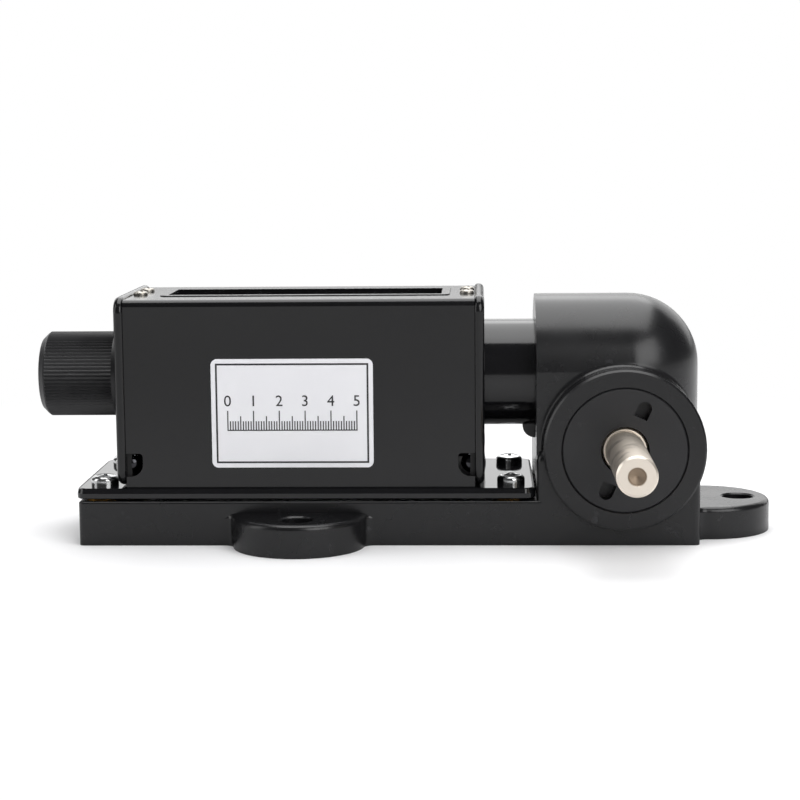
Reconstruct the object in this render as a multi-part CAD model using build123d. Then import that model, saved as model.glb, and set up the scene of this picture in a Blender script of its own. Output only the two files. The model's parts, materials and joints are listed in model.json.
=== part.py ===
from build123d import *
import math
import os

# A shop length counter in millimetres. The origin is the middle of the base's underside,
# +X points to the gear housing, -Y to the drive shaft's end and +Z up.

# Base moulding
base_length = 160.0
base_depth = 49.0
base_height = 11.5
base_edge_radius = 1.5
base_top_radius = 0.6

# Fixing ears of the base
ear_radius = 17.0
ear_height = 8.4
ear_edge_radius = 1.4
ear_root_radius = 2.5
ear_hole_radius = 4.2
ear_hole_chamfer = 0.4
front_ear_x = -22.8
front_ear_reach = 16.7
front_hole_reach = 8.2
right_ear_reach = 20.7
right_hole_reach = 12.5

# Distance between the two crossed shafts, the number drums' shaft above
shaft_distance = 17.2

# Gear housing, moulded with the base
house_length = 41.7
house_half_width = 20.7
house_crown = 18.6
house_corner_rise = 2.2
house_ledge_radius = 3.0
input_inset = 19.4
boss_radius = 20.7
boss_reach = 2.2
boss_chamfer = 0.5
boss_hollow_radius = 1.5
seat_edge_chamfer = 0.25
gusset_radius = 3.2
gusset_width = 6.0
seat_depth = 6.0
tunnel_radius = 12.6
gear_well_radius = 14.0
gear_well_back = 11.0
end_bush_inset = 10.4

# End cap in the boss
cap_radius = 16.0
cap_thickness = 6.0
cap_hole_radius = 6.15
cap_edge_chamfer = 0.3
key_slot_ring = 11.4
key_slot_angle = 65.9
key_slot_width = 3.6
key_slot_length = 4.4
key_slot_depth = 4.0

# Input shaft and its bearings
input_radius = 5.0
journal_radius = 4.5
shoulder_relief = 0.3
input_reach = 38.3
input_end_chamfer = 0.5
centre_hole_radius = 2.3
centre_rim_width = 0.45
centre_rim_depth = 0.5
centre_cone_depth = 0.9
collar_radius = 5.95
collar_recess = 0.9
collar_length = 4.6
collar_chamfer = 0.5
front_bush_length = 6.0
rear_bush_radius = 8.0
rear_bush_length = 7.0
ring_groove_radius = 4.0
ring_outer_radius = 6.3
ring_thickness = 1.0
ring_mouth = 5.0

# Crossed helical gears
drive_teeth = 6
driven_teeth = 18
drive_helix = 65.0
drive_gear_length = 15.0
driven_gear_length = 8.0
helical_tooth_share = 0.43
helical_tooth_taper = 0.19
addendum_share = 0.80
dedendum_share = 1.15
hub_wall = 3.0
gear_pin_radius = 1.0
gear_pin_inset = 1.3

# Counter shaft and its bearings
counter_radius = 4.0
end_bush_radius = 7.0
end_bush_length = 7.0
tube_bush_length = 8.0

# Connecting tube
tube_radius = 14.05
tube_bore_radius = 11.0
spigot_radius = 12.0

# Bottom plate and its screws
tray_end_inset = -0.6
tray_house_gap = 0.3
tray_side_inset = 0.3
tray_thickness = 1.2
tray_drop = 2.7
tray_base_gap = 0.6
tray_corner_radius = 2.2
tray_edge_radius = 1.55
tray_rim_radius = 0.9
screw_end_inset = 6.2
screw_side_inset = 8.7
screw_shank_radius = 1.75
screw_head_radius = 3.6
screw_head_height = 2.6
screw_head_edge = 1.15
screw_head_crown = 0.45
screw_grip = 8.0
screw_slot_width = 0.9
screw_slot_length = 4.2
screw_slot_depth = 1.1
spacer_radius = 4.8

# Counter box
box_inset = 10.0
tube_gap = 13.3
side_thickness = 2.5
side_margin = 0.7
side_corner_radius = 4.0
side_edge_radius = 1.4
side_inner_radius = 0.9
side_foot_gap = 0.4
cover_inset = 1.8
cover_thickness = 1.0
cover_bend_radius = 1.8
notch_width = 4.3
notch_height = 6.0
notch_upper_radius = 0.9
notch_lower_radius = 3.2
notch_rise = 2.9
tab_length = 6.5
tab_half_depth = 16.0
tab_thickness = 1.0

# Window in the top of the cover
window_left_margin = 12.4
window_right_margin = 11.1
window_depth = 18.4
pane_margin = 1.6
pane_thickness = 1.0
drum_window_gap = 1.6
bezel_width = 2.2
bezel_height = 0.25
bezel_chamfer = 0.1

# Small fasteners of the counter box
top_screw_inset = 4.5
top_screw_y = 5.5
top_screw_radius = 1.9
top_screw_height = 1.1
top_screw_edge = 0.6
top_screw_crown = 0.2
top_screw_shank = 1.25
top_screw_tip = 1.0
top_screw_slot_width = 0.6
top_screw_slot_length = 2.4
top_screw_slot_depth = 0.6
rivet_side_inset = 3.6
rivet_rise = 6.0
rivet_dome_radius = 2.6
rivet_dome_height = 2.4
rivet_head_height = 0.3
rivet_shank = 1.5
angle_foot = 10.0
angle_height = 11.0
angle_thickness = 1.2
angle_inset = 1.6
angle_relief_radius = 2.6
angle_screw_inset = 6.4
angle_screw_y = 12.0
angle_screw_radius = 2.6
angle_screw_head = 1.2
angle_screw_shank = 1.25
angle_screw_tip = 1.5

# Label plate on the front panel
label_length = 41.6
label_height = 28.1
label_left = 22.4
label_bottom = 5.3
label_radius = 1.6
label_thickness = 0.3

# Number drums and carry train
drum_count = 5
drum_row_margin = 1.75
drum_gap = 4.2
drum_radius = 17.8
drum_wall = 2.2
drum_web = 2.4
drum_hub_radius = 6.6
drum_sleeve_step = 0.6
ring_teeth = 20
ring_width = 2.2
lock_width = 1.5
pinion_teeth = 8
carry_module = 1.4
carry_backlash = 0.1
carry_tooth_share = 0.45
carry_tooth_taper = 0.21
carry_tooth_width = 1.2
carry_tooth_height = 1.4
carry_tooth_angle = 9.0
lock_step = 0.8
pinion_side_gap = 0.25
pinion_floor_gap = 0.78
pinion_shaft_radius = 1.5
pinion_shaft_inset = 0.2
dog_ring_radius = 9.5
dog_radius = 1.2
dog_grip = 1.7
drive_disc_radius = 12.0
drive_disc_thickness = 2.0

# Zero-setting shaft and knob
reset_radius = 4.0
reset_pilot_radius = 2.5
reset_pilot_length = 8.5
key_width = 1.4
key_depth = 0.8
reset_bush_radius = 6.5
reset_bush_flange_radius = 8.5
reset_bush_flange = 1.2
knob_radius = 11.25
knob_length = 22.0
knob_gap = 0.6
knob_collar_length = 2.5
knob_lip_length = 1.8
knob_lip_chamfer = 1.4
knob_ribs = 72
knob_rib_depth = 0.35
knob_end_wall = 5.0
knob_screw_radius = 1.5
knob_screw_length = 6.4
knob_screw_inset = 7.0

# Clearances
running_clearance = 0.04
seat_clearance = 0.02
side_clearance = 0.3
cap_clearance = 0.06

# Places that follow from the sizes above
base_left = -base_length / 2
base_right = base_length / 2
base_front = -base_depth / 2
house_left = base_right - house_length

tray_bottom = base_height + tray_base_gap
tray_top = tray_bottom + tray_drop
tray_left = base_left + tray_end_inset
tray_right = house_left - tray_house_gap
tray_half_depth = base_depth / 2 - tray_side_inset

# The drums' shaft lies as high as the carry pinions under the drums need
ring_pitch_radius = carry_module * ring_teeth / 2
pinion_pitch_radius = carry_module * pinion_teeth / 2
pinion_tip_radius = pinion_pitch_radius + addendum_share * carry_module
pinion_distance = ring_pitch_radius + pinion_pitch_radius + carry_backlash
pinion_height = tray_top + pinion_floor_gap + pinion_tip_radius
counter_height = pinion_height + pinion_distance
input_height = counter_height - shaft_distance

input_x = base_right - input_inset
corner_x = input_x + house_corner_rise
corner_z = counter_height + house_corner_rise
boss_front = base_front - boss_reach
input_end = boss_front - input_reach
collar_front = boss_front + collar_recess
cap_back = boss_front + cap_thickness
front_bush_back = cap_back + front_bush_length
end_bush_left = base_right - end_bush_inset + running_clearance

drive_hub_length = -front_bush_back - side_clearance - drive_gear_length / 2
driven_hub_length = end_bush_left - side_clearance - input_x - driven_gear_length / 2

box_left = base_left + box_inset
box_right = house_left - tube_gap
cover_left = box_left + side_thickness
cover_right = box_right - side_thickness
cover_top = counter_height + drum_radius + drum_window_gap + pane_thickness + cover_thickness
cover_height = cover_top - tray_top
cover_half_depth = tray_half_depth - cover_inset
side_top = cover_top + side_margin
side_half_depth = cover_half_depth + side_margin
angle_half_depth = cover_half_depth - angle_inset

window_left = box_left + window_left_margin
window_right = box_right - window_right_margin
window_length = window_right - window_left
window_middle = (window_left + window_right) / 2
drum_pitch = (window_length - drum_row_margin * 2) / drum_count
drum_width = drum_pitch - drum_gap
dog_length = side_clearance + (drum_width - drum_web) / 2 + dog_grip
knob_right = box_left - knob_gap
knob_left = knob_right - knob_length

os.makedirs("parts", exist_ok=True)


def save(name, shape):
    solids = shape.solids()
    export_step(Compound(children=list(solids)) if len(solids) > 1 else solids[0], f"parts/{name}.step")


def block(x0, x1, y0, y1, z0, z1):
    return Pos((x0 + x1) / 2, (y0 + y1) / 2, (z0 + z1) / 2) * Box(abs(x1 - x0), y1 - y0, z1 - z0)


def along_x(radius, x0, x1, y, z):
    return Pos((x0 + x1) / 2, y, z) * Rot(0, 90, 0) * Cylinder(radius, x1 - x0)


def along_y(radius, y0, y1, x, z):
    return Pos(x, (y0 + y1) / 2, z) * Rot(90, 0, 0) * Cylinder(radius, y1 - y0)


def along_z(radius, z0, z1, x, y):
    return Pos(x, y, (z0 + z1) / 2) * Cylinder(radius, z1 - z0)


def facing_x(shape, x, z):
    """Stands a piece that was made about Z onto the counter's line, its own top still up."""
    return Plane(origin=(x, 0, z), x_dir=(0, 1, 0), z_dir=(1, 0, 0)).location * shape


def edges_on_circle(shape, axis, level, radius):
    """Round edges square to an axis, at one level and of one radius."""
    found = []
    for edge in shape.edges().filter_by(GeomType.CIRCLE):
        middle = getattr(edge.arc_center, axis)
        if abs(middle - level) < 1e-4 and abs(edge.radius - radius) < 1e-4:
            found.append(edge)
    return found


# Base moulding with its ears and the elbow-shaped gear housing


def ear(reach, hole_reach):
    """One ear that stands out along +Y from a wall on the X axis."""
    centre = reach - ear_radius
    strip = ear_radius + ear_root_radius * 2
    plan = Pos(0, -ear_root_radius) * Rectangle(strip * 2, ear_root_radius * 2)
    plan += Pos(0, centre) * Circle(ear_radius)
    if centre > 0:
        plan += Pos(0, centre / 2) * Rectangle(ear_radius * 2, centre)
    corners = [v for v in plan.vertices() if abs(v.Y) < 1e-3 and abs(abs(v.X) - ear_radius) < 0.1]
    plan = fillet(corners, ear_root_radius)
    lug = extrude(plan, ear_height)
    rim = [e for e in lug.edges() if abs(e.center().Z - ear_height) < 1e-4 and e.center().Y > 0.05]
    lug = fillet(rim, ear_edge_radius)
    lug -= along_z(ear_hole_radius, -1, ear_height + 1, 0, hole_reach)
    return chamfer(edges_on_circle(lug, "Z", ear_height, ear_hole_radius), ear_hole_chamfer)


def elbow():
    """The arch over the counter shaft, turned down at its right end round a level axis."""
    arch = make_face(
        ThreePointArc((-house_half_width, 0), (0, house_crown), (house_half_width, 0))
        + Line((house_half_width, 0), (-house_half_width, 0))
    )
    over = Plane(origin=(house_left, 0, corner_z), x_dir=(0, 1, 0), z_dir=(1, 0, 0))
    turn = Plane(origin=(corner_x, 0, corner_z), x_dir=(0, 1, 0), z_dir=(1, 0, 0))
    down = Plane(origin=(corner_x, 0, corner_z), x_dir=(0, 1, 0), z_dir=(0, 0, -1))
    shape = extrude(over * arch, corner_x - house_left)
    shape += revolve(turn * arch, Axis((corner_x, 0, corner_z), (0, 1, 0)), 90)
    shape += extrude(down * arch, corner_z)
    return shape + block(house_left, corner_x, -house_half_width, house_half_width, 0, corner_z)


def boss_seam(body):
    """The edges where the round boss meets the elbow."""
    seam = []
    for edge in body.edges():
        points = [edge.position_at(share) for share in (0.1, 0.5, 0.9)]
        reach = [math.hypot(p.X - input_x, p.Z - input_height) for p in points]
        on_boss = max(abs(r - boss_radius) for r in reach) < 0.01
        if on_boss and min(p.Y for p in points) > base_front:
            seam.append(edge)
    return seam


def base_housing():
    slab = block(base_left, base_right, base_front, -base_front, 0, base_height)
    slab = fillet(slab.edges().filter_by(Axis.Z), base_edge_radius)
    slab = fillet(slab.faces().sort_by(Axis.Z)[-1].edges(), base_top_radius)
    lower = block(house_left, base_right, base_front, -base_front, 0, input_height)
    lower = fillet(lower.edges().filter_by(Axis.Z), base_edge_radius)
    ledges = lower.faces().sort_by(Axis.Z)[-1].edges().filter_by(Axis.X)
    lower = fillet(ledges, house_ledge_radius)
    boss = along_y(boss_radius, boss_front, 0, input_x, input_height)
    housing = elbow() + chamfer(edges_on_circle(boss, "Y", boss_front, boss_radius), boss_chamfer)
    body = slab + lower + fillet(boss_seam(housing), boss_hollow_radius)
    front = Pos(front_ear_x, base_front, 0) * Rot(0, 0, 180) * ear(front_ear_reach, front_hole_reach)
    rear = Pos(front_ear_x, -base_front, 0) * ear(front_ear_reach, front_hole_reach)
    right = Pos(base_right, 0, 0) * Rot(0, 0, -90) * ear(right_ear_reach, right_hole_reach)
    body += front + rear + right
    tube_bottom = counter_height - tube_radius
    gusset = along_y(gusset_radius, -gusset_width / 2, gusset_width / 2, house_left, tube_bottom)
    body += gusset - block(house_left, corner_x, -gusset_width, gusset_width, 0, counter_height)
    # Bores for the cap and front bush, the gear well and the rear bush, from the front
    body -= along_y(cap_radius, boss_front - 1, front_bush_back, input_x, input_height)
    body = chamfer(edges_on_circle(body, "Y", boss_front, cap_radius), seat_edge_chamfer)
    body -= along_y(gear_well_radius, front_bush_back, gear_well_back, input_x, input_height)
    rear_seat = gear_well_back + rear_bush_length + seat_clearance
    body -= along_y(rear_bush_radius + seat_clearance, gear_well_back, rear_seat, input_x, input_height)
    # Bores for the tube, the driven gear and the end bush, from the left
    seat_end = house_left + seat_depth + seat_clearance
    seat_start = house_left - gusset_radius - 1
    body -= along_x(tube_radius + seat_clearance, seat_start, seat_end, 0, counter_height)
    body -= along_x(tunnel_radius, house_left, end_bush_left, 0, counter_height)
    end_seat = end_bush_left + end_bush_length + seat_clearance
    body -= along_x(end_bush_radius + seat_clearance, end_bush_left, end_seat, 0, counter_height)
    for x, y in plate_screw_places():
        bottom = base_height - screw_grip - seat_clearance
        body -= along_z(screw_shank_radius + seat_clearance, bottom, base_height + 1, x, y)
    return body


def plate_screw_places():
    """The four places in plan of the screws that hold the bottom plate."""
    xs = (tray_left + screw_end_inset, tray_right - screw_end_inset)
    y = base_depth / 2 - screw_side_inset
    return [(x, side * y) for x in xs for side in (-1, 1)]


# Bottom plate, its screws and spacers


def bottom_plate():
    plan = RectangleRounded(tray_right - tray_left, tray_half_depth * 2, tray_corner_radius)
    middle = Pos((tray_left + tray_right) / 2, 0, tray_bottom)
    outer = extrude(plan, tray_drop)
    outer = fillet(outer.faces().sort_by(Axis.Z)[-1].edges(), tray_edge_radius)
    outer = fillet(outer.faces().sort_by(Axis.Z)[0].edges(), tray_rim_radius)
    inner_plan = RectangleRounded(
        tray_right - tray_left - tray_thickness * 2,
        (tray_half_depth - tray_thickness) * 2,
        tray_corner_radius - tray_thickness,
    )
    tray = middle * (outer - extrude(inner_plan, tray_drop - tray_thickness))
    for x, y in plate_screw_places():
        tray -= along_z(screw_shank_radius + seat_clearance, tray_bottom, tray_top + 1, x, y)
    for x, y in angle_screw_places():
        tray -= along_z(angle_screw_shank + seat_clearance, tray_bottom, tray_top + 1, x, y)
    return tray


def pan_head(radius, height, edge, crown):
    """A low head with a rounded edge and a slightly domed top, its underside at z 0."""
    flat = radius - edge
    rim = height - crown
    slant = edge * math.sqrt(0.5)
    ball_radius = (flat * flat + crown * crown) / 2 / crown
    crest = height - ball_radius + math.sqrt(ball_radius * ball_radius - flat * flat / 4)
    outline = (
        Line((0, 0), (radius, 0))
        + Line((radius, 0), (radius, rim - edge))
        + ThreePointArc((radius, rim - edge), (flat + slant, rim - edge + slant), (flat, rim))
        + ThreePointArc((flat, rim), (flat / 2, crest), (0, height))
        + Line((0, height), (0, 0))
    )
    return revolve(Plane.XZ * make_face(outline), Axis.Z)


def cross_screw(head, head_height, shank_radius, shank_length, slot_width, slot_length, slot_depth):
    """A cross-recess screw with its head's underside at z 0."""
    screw = head
    screw += along_z(shank_radius, -shank_length, 0, 0, 0)
    for turn in (0, 90):
        bar = Pos(0, 0, head_height) * Box(slot_length, slot_width, slot_depth * 2)
        screw -= Rot(0, 0, turn) * bar
    return screw


def plate_screws():
    reach = screw_grip + tray_top - base_height
    screw = cross_screw(
        pan_head(screw_head_radius, screw_head_height, screw_head_edge, screw_head_crown),
        screw_head_height,
        screw_shank_radius,
        reach,
        screw_slot_width,
        screw_slot_length,
        screw_slot_depth,
    )
    turns = (20, 65, 38, 5)
    places = plate_screw_places()
    return [Pos(x, y, tray_top) * Rot(0, 0, turn) * screw for (x, y), turn in zip(places, turns)]


def brass_spacers():
    rings = []
    for x, y in plate_screw_places():
        ring = along_z(spacer_radius, base_height, tray_top - tray_thickness, x, y)
        rings.append(ring - along_z(screw_shank_radius + seat_clearance, 0, tray_top, x, y))
    return rings


# Counter box


def notches(cover):
    """Opens both lower ends of the front and rear panels, where the rivet domes lie."""
    z = tray_top + notch_rise + notch_height / 2
    reach = cover_half_depth + 1
    outline = Rectangle(notch_width * 2, notch_height)
    outline = fillet(outline.vertices().group_by(Axis.Y)[-1], notch_upper_radius)
    outline = fillet(outline.vertices().group_by(Axis.Y)[0], notch_lower_radius)
    cut = extrude(Plane.XZ.offset(-reach) * outline, reach * 2)
    for x in (cover_left, cover_right):
        cover -= Pos(x, 0, z) * cut
    return cover


def case_cover():
    outer_profile = Pos(0, -cover_height / 2) * Rectangle(cover_half_depth * 2, cover_height)
    outer_profile = fillet(outer_profile.vertices().group_by(Axis.Y)[-1], cover_bend_radius)
    inner_profile = Pos(0, -cover_height / 2 - cover_thickness) * Rectangle(
        (cover_half_depth - cover_thickness) * 2, cover_height
    )
    inner_profile = fillet(
        inner_profile.vertices().group_by(Axis.Y)[-1], cover_bend_radius - cover_thickness
    )
    end = Plane(origin=(cover_left, 0, cover_top), x_dir=(0, 1, 0), z_dir=(1, 0, 0))
    cover = extrude(end * (outer_profile - inner_profile), cover_right - cover_left)
    opening = Pos(window_middle, 0, cover_top) * Box(window_length, window_depth, cover_thickness * 3)
    cover -= opening
    for x, y in top_screw_places():
        cover -= along_z(top_screw_shank + seat_clearance, cover_top - 5, cover_top + 1, x, y)
    return notches(cover)


def side_plate(outer_x, direction):
    """A pressed end plate with rounded outer edges; direction is +1 where the box lies towards +X."""
    height = side_top - tray_top - side_foot_gap
    outline = RectangleRounded(side_half_depth * 2, height, side_corner_radius)
    place = Plane(
        origin=(outer_x, 0, tray_top + side_foot_gap + height / 2),
        x_dir=(0, direction, 0),
        z_dir=(direction, 0, 0),
    )
    plate = extrude(place * outline, side_thickness)
    for side, radius in ((direction, side_edge_radius), (-direction, side_inner_radius)):
        face = plate.faces().sort_by(Axis.X)[0 if side > 0 else -1]
        plate = fillet(face.edges(), radius)
    inner_x = outer_x + direction * side_thickness
    tab_x = inner_x + direction * tab_length
    tab_top = cover_top - cover_thickness
    plate += block(inner_x, tab_x, -tab_half_depth, tab_half_depth, tab_top - tab_thickness, tab_top)
    for x, y in top_screw_places():
        plate -= along_z(top_screw_shank + seat_clearance, cover_top - 5, cover_top + 1, x, y)
    x0 = outer_x - side_thickness * 2
    x1 = outer_x + side_thickness * 2
    for y in rivet_ys():
        plate -= along_x(rivet_shank + seat_clearance, x0, x1, y, rivet_z())
    return plate - along_x(pinion_shaft_radius + seat_clearance, x0, x1, 0, pinion_height)


def left_side_plate():
    hole = along_x(reset_bush_radius + seat_clearance, box_left - 1, cover_left + 1, 0, counter_height)
    return side_plate(box_left, 1) - hole


def right_side_plate():
    hole = along_x(spigot_radius + seat_clearance, cover_right - 1, box_right + 1, 0, counter_height)
    return side_plate(box_right, -1) - hole


def rivet_z():
    return tray_top + rivet_rise


def rivet_ys():
    y = cover_half_depth - rivet_side_inset
    return (-y, y)


def dome(radius, height, z):
    """A round head that stands on z, higher in the middle; a negative height hangs down."""
    ball_radius = (radius * radius + height * height) / 2 / abs(height)
    side = 1 if height > 0 else -1
    head = Pos(0, 0, z + height - side * ball_radius) * Sphere(ball_radius)
    return head & along_z(radius, min(z, z + height), max(z, z + height), 0, 0)


def side_rivets():
    """Studs through an end plate and its angle, domed inside and low outside."""
    grip = side_thickness + angle_thickness
    rivet = along_z(rivet_shank, 0, grip, 0, 0)
    rivet += dome(rivet_dome_radius, rivet_dome_height, grip)
    rivet += dome(rivet_dome_radius, -rivet_head_height, 0)
    pieces = []
    for y in rivet_ys():
        pieces.append(Pos(box_left, y, rivet_z()) * Rot(0, 90, 0) * rivet)
        pieces.append(Pos(box_right, y, rivet_z()) * Rot(0, -90, 0) * rivet)
    return pieces


def side_angle(inner_x, direction):
    """Sheet angle that ties an end plate to the bottom plate."""
    wall_x = inner_x + direction * angle_thickness
    foot_x = inner_x + direction * angle_foot
    half = angle_half_depth
    angle = block(inner_x, wall_x, -half, half, tray_top, tray_top + angle_height)
    angle += block(inner_x, foot_x, -half, half, tray_top, tray_top + angle_thickness)
    x0 = inner_x - angle_foot
    x1 = inner_x + angle_foot
    for y in rivet_ys():
        angle -= along_x(rivet_shank + seat_clearance, x0, x1, y, rivet_z())
    angle -= along_x(angle_relief_radius, x0, x1, 0, pinion_height)
    for x, y in angle_screw_places():
        hole_top = tray_top + angle_thickness + 1
        angle -= along_z(angle_screw_shank + seat_clearance, tray_top - 1, hole_top, x, y)
    return angle


def angle_screw_places():
    xs = (cover_left + angle_screw_inset, cover_right - angle_screw_inset)
    return [(x, side * angle_screw_y) for x in xs for side in (-1, 1)]


def angle_screws():
    """Screws from below the tray up through the angles' feet."""
    under = tray_top - tray_thickness
    pieces = []
    for x, y in angle_screw_places():
        head = along_z(angle_screw_radius, under - angle_screw_head, under, x, y)
        tip = tray_top + angle_thickness + angle_screw_tip
        pieces.append(head + along_z(angle_screw_shank, under, tip, x, y))
    return pieces


def top_screw_places():
    xs = (box_left + top_screw_inset, box_right - top_screw_inset)
    return [(x, side * top_screw_y) for x in xs for side in (-1, 1)]


def top_screws():
    screw = cross_screw(
        pan_head(top_screw_radius, top_screw_height, top_screw_edge, top_screw_crown),
        top_screw_height,
        top_screw_shank,
        cover_thickness + tab_thickness + top_screw_tip,
        top_screw_slot_width,
        top_screw_slot_length,
        top_screw_slot_depth,
    )
    return [Pos(x, y, cover_top) * Rot(0, 0, 30) * screw for x, y in top_screw_places()]


def window_pane():
    half = window_length / 2 + pane_margin
    z = cover_top - cover_thickness
    y = window_depth / 2 + pane_margin
    return block(window_middle - half, window_middle + half, -y, y, z - pane_thickness, z)


def window_bezel():
    outer = RectangleRounded(
        window_length + bezel_width * 2, window_depth + bezel_width * 2, bezel_width
    ) - Rectangle(window_length, window_depth)
    frame = extrude(Pos(window_middle, 0, cover_top) * outer, bezel_height)
    top = frame.faces().sort_by(Axis.Z)[-1]
    return chamfer(top.outer_wire().edges(), bezel_chamfer)


def label_plate():
    """Thin plate on the front panel."""
    plate = extrude(RectangleRounded(label_length, label_height, label_radius), label_thickness)
    x = cover_left + label_left + label_length / 2
    z = tray_top + label_bottom + label_height / 2
    return Pos(x, -cover_half_depth, z) * Rot(90, 0, 0) * plate


# Tube, cap and the shafts' bearings


def connecting_tube():
    tube = along_x(tube_radius, box_right, house_left + seat_depth, 0, counter_height)
    tube += along_x(spigot_radius, cover_right, box_right, 0, counter_height)
    return tube - along_x(tube_bore_radius, cover_right - 1, house_left + seat_depth + 1, 0, counter_height)


def end_cap():
    radius = cap_radius - cap_clearance
    disc = along_y(radius, boss_front, cap_back, input_x, input_height)
    disc = chamfer(edges_on_circle(disc, "Y", boss_front, radius), cap_edge_chamfer)
    disc -= along_y(cap_hole_radius, boss_front - 1, cap_back + 1, input_x, input_height)
    straight = key_slot_length - key_slot_width / 2
    slot = Rectangle(straight, key_slot_width) + Pos(straight / 2) * Circle(key_slot_width / 2)
    slot = Pos(-key_slot_width / 4) * slot
    face = Plane(origin=(input_x, boss_front, input_height), x_dir=(1, 0, 0), z_dir=(0, -1, 0))
    for turn in (key_slot_angle, key_slot_angle + 180):
        disc -= extrude(face * (Rot(0, 0, turn) * Pos(key_slot_ring) * slot), -key_slot_depth)
    return disc


def front_bush():
    bush = along_y(cap_radius - cap_clearance, cap_back, front_bush_back, input_x, input_height)
    bore = journal_radius + running_clearance
    return bush - along_y(bore, cap_back - 1, front_bush_back + 1, input_x, input_height)


def rear_bush():
    y1 = gear_well_back + rear_bush_length
    bush = along_y(rear_bush_radius, gear_well_back, y1, input_x, input_height)
    bore = journal_radius + running_clearance
    return bush - along_y(bore, gear_well_back - 1, y1 + 1, input_x, input_height)


def end_bush():
    x1 = end_bush_left + end_bush_length
    bush = along_x(end_bush_radius, end_bush_left, x1, 0, counter_height)
    return bush - along_x(counter_radius + running_clearance, end_bush_left - 1, x1 + 1, 0, counter_height)


def tube_bush():
    x1 = box_right + tube_bush_length
    bush = along_x(tube_bore_radius - seat_clearance, box_right, x1, 0, counter_height)
    return bush - along_x(counter_radius + running_clearance, box_right - 1, x1 + 1, 0, counter_height)


def reset_bush():
    inner = cover_left + reset_bush_flange
    bush = along_x(reset_bush_radius, box_left, cover_left, 0, counter_height)
    bush += along_x(reset_bush_flange_radius, cover_left, inner, 0, counter_height)
    return bush - along_x(reset_radius + running_clearance, box_left - 1, inner + 1, 0, counter_height)


# Crossed helical gears


def gear_sizes():
    """Normal module from the shafts' distance, and each gear's pitch radius."""
    drive_share = drive_teeth / 2 / math.cos(math.radians(drive_helix))
    driven_share = driven_teeth / 2 / math.sin(math.radians(drive_helix))
    module = (counter_height - input_height) / (drive_share + driven_share)
    return module, module * drive_share, module * driven_share


def tooth_face(teeth, pitch_radius, module, phase, share, taper):
    """Straight-flanked section of a gear, square to its axis, with a tooth's middle at the phase."""
    root = pitch_radius - dedendum_share * module
    tip = pitch_radius + addendum_share * module
    pitch = 2 * math.pi / teeth
    wide = pitch * (share + taper) / 2
    narrow = pitch * (share - taper) / 2
    points = []
    for i in range(teeth):
        middle = phase + i * pitch
        for radius, angle in ((root, -wide), (tip, -narrow), (tip, narrow), (root, wide)):
            points.append((radius * math.cos(middle + angle), radius * math.sin(middle + angle)))
    return make_face(Polyline(*points, close=True))


def twisted(face, length, lead):
    """A section carried half its length each way along +Z while it turns one way."""
    turn = 360 * length / lead
    start = Pos(0, 0, -length / 2) * Rot(0, 0, -turn / 2) * face
    return Part() + Solid.extrude_linear_with_rotation(
        start.faces()[0], (0, 0, -length / 2), (0, 0, length), turn
    )


def drive_gear():
    module, radius = gear_sizes()[:2]
    lead = 2 * math.pi * radius / math.tan(math.radians(drive_helix))
    face = tooth_face(drive_teeth, radius, module, math.pi / 2, helical_tooth_share, helical_tooth_taper)
    gear = twisted(face, drive_gear_length, lead)
    hub_end = drive_gear_length / 2 + drive_hub_length
    gear += along_z(radius - dedendum_share * module, drive_gear_length / 2, hub_end, 0, 0)
    gear -= along_z(journal_radius + seat_clearance, -hub_end, hub_end + 1, 0, 0)
    place = Pos(input_x, 0, input_height) * Rot(90, 0, 0)
    gear = place * gear
    return gear - drive_pin_body(seat_clearance)


def driven_gear():
    module = gear_sizes()[0]
    radius = gear_sizes()[2]
    lead = 2 * math.pi * radius / math.tan(math.radians(90 - drive_helix))
    half_pitch = math.pi / driven_teeth
    face = tooth_face(driven_teeth, radius, module, half_pitch, helical_tooth_share, helical_tooth_taper)
    gear = twisted(face, driven_gear_length, lead)
    hub_radius = counter_radius + hub_wall
    hub_end = driven_gear_length / 2 + driven_hub_length
    gear += along_z(hub_radius, driven_gear_length / 2, hub_end, 0, 0)
    gear -= along_z(counter_radius + seat_clearance, -hub_end, hub_end + 1, 0, 0)
    gear = Pos(input_x, 0, counter_height) * Rot(0, 90, 0) * gear
    return gear - driven_pin_body(seat_clearance)


def drive_pin_body(extra):
    radius = gear_sizes()[1]
    y = -(drive_gear_length + drive_hub_length) / 2
    half = radius - gear_pin_inset + extra
    return along_z(gear_pin_radius + extra, input_height - half, input_height + half, input_x, y)


def driven_pin_body(extra):
    x = input_x + (driven_gear_length + driven_hub_length) / 2
    half = counter_radius + hub_wall + extra
    return along_z(gear_pin_radius + extra, counter_height - half, counter_height + half, x, 0)


# Shafts


def centre_hole():
    """The turning centre in a shaft's end: a steep rim, then a flat cone, cut along +Z."""
    throat = centre_hole_radius - centre_rim_width
    outline = Polyline(
        (0, 0),
        (centre_hole_radius, 0),
        (throat, centre_rim_depth),
        (0, centre_rim_depth + centre_cone_depth),
        close=True,
    )
    return revolve(Plane.XZ * make_face(outline), Axis.Z)


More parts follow.
